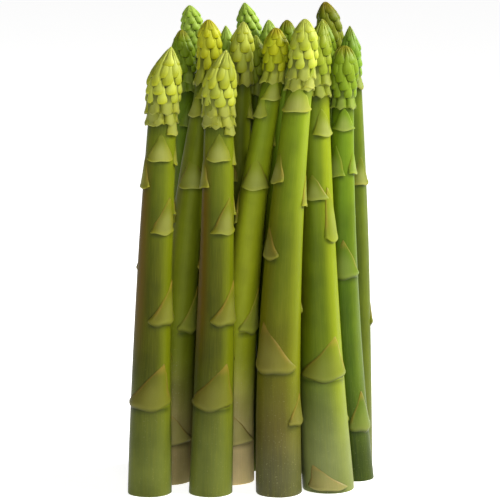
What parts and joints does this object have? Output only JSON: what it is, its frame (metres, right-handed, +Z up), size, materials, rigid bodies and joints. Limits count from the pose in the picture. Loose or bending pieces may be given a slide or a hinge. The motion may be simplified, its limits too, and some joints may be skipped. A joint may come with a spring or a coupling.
{
  "type": "bundle of asparagus",
  "caption": "Bundle of fresh green asparagus spears standing together on flat cut ends, with pointed scale leaves on the stems and closed tips.",
  "frame": {"origin": "centre of the bundle's bounding box on the plane that the cut ends stand on", "axes": "+Z up along the spears from the cut ends to the tips, +Y from the front of the bundle to its back, +X to the right as seen from the front"},
  "size_m": [0.1156, 0.088, 0.2236],
  "materials": {
    "spear_green": "satin, waxy",
    "spear_pale_head": "satin, waxy",
    "spear_dark": "satin, waxy"
  },
  "bodies": {
    "root": {"spear_front_1": "spear_pale_head", "spear_front_2": "spear_pale_head", "spear_front_3": "spear_pale_head", "spear_front_4": "spear_green", "spear_second_1": "spear_green", "spear_second_2": "spear_green", "spear_second_3": "spear_dark", "spear_second_4": "spear_dark", "spear_second_5": "spear_dark", "spear_third_1": "spear_green", "spear_third_2": "spear_dark", "spear_third_3": "spear_pale_head", "spear_third_4": "spear_green", "spear_third_5": "spear_green", "spear_fourth_1": "spear_green", "spear_fourth_2": "spear_green", "spear_fourth_3": "spear_green", "spear_fourth_4": "spear_dark"}
  },
  "joints": []
}
